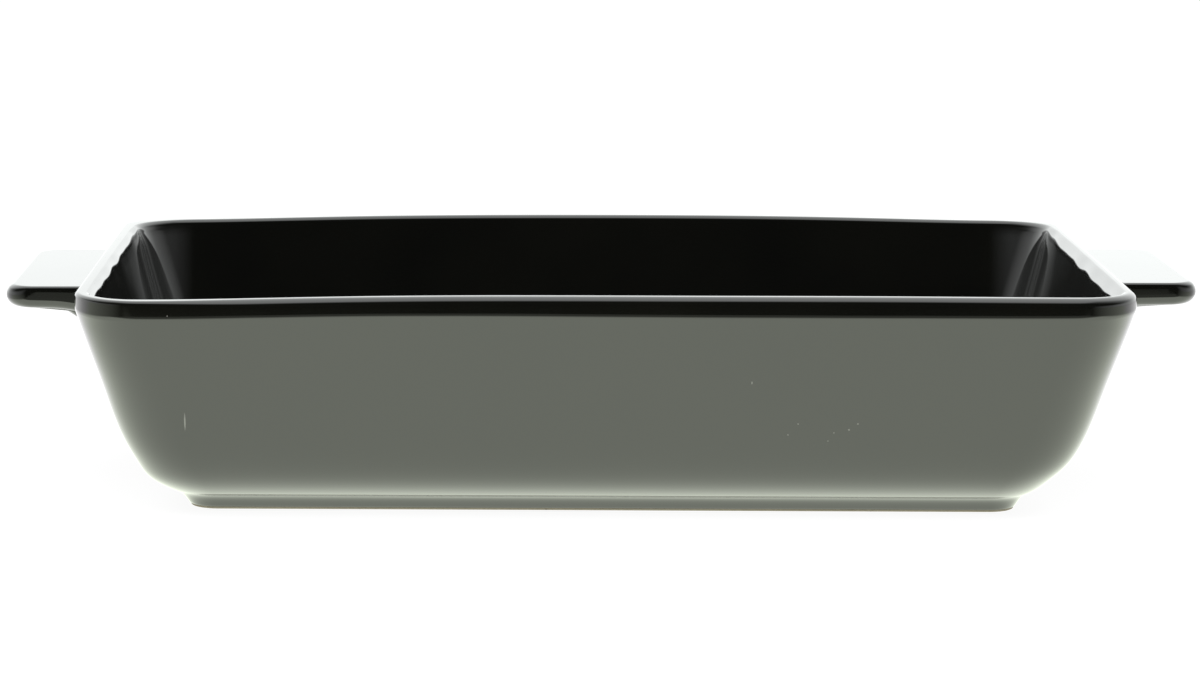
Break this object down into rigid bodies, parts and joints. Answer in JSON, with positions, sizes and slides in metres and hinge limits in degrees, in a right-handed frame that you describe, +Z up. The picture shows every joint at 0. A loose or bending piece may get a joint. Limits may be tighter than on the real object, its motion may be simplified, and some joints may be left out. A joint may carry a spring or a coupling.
{
  "type": "rectangular baking dish",
  "caption": "Rectangular oven dish in gloss black glazed ceramic, with leaning walls, a rounded rim, flat ledge handles on the short ends and a low foot ring.",
  "frame": {"origin": "centre of the foot ring's standing face, which is also the bottom centre of the dish", "axes": "+X along the long side towards the right handle, +Y across the dish, +Z up out of the open top"},
  "size_m": [0.371, 0.205, 0.07],
  "materials": {
    "black_glaze": "clear gloss over an even black glaze",
    "foot_clay": "glazed sides, standing face wiped bare and left as fired clay"
  },
  "bodies": {
    "root": {"base": "black_glaze", "wall": "black_glaze", "rim": "black_glaze", "left_handle": "black_glaze", "right_handle": "black_glaze", "foot_ring": "foot_clay"}
  },
  "joints": []
}
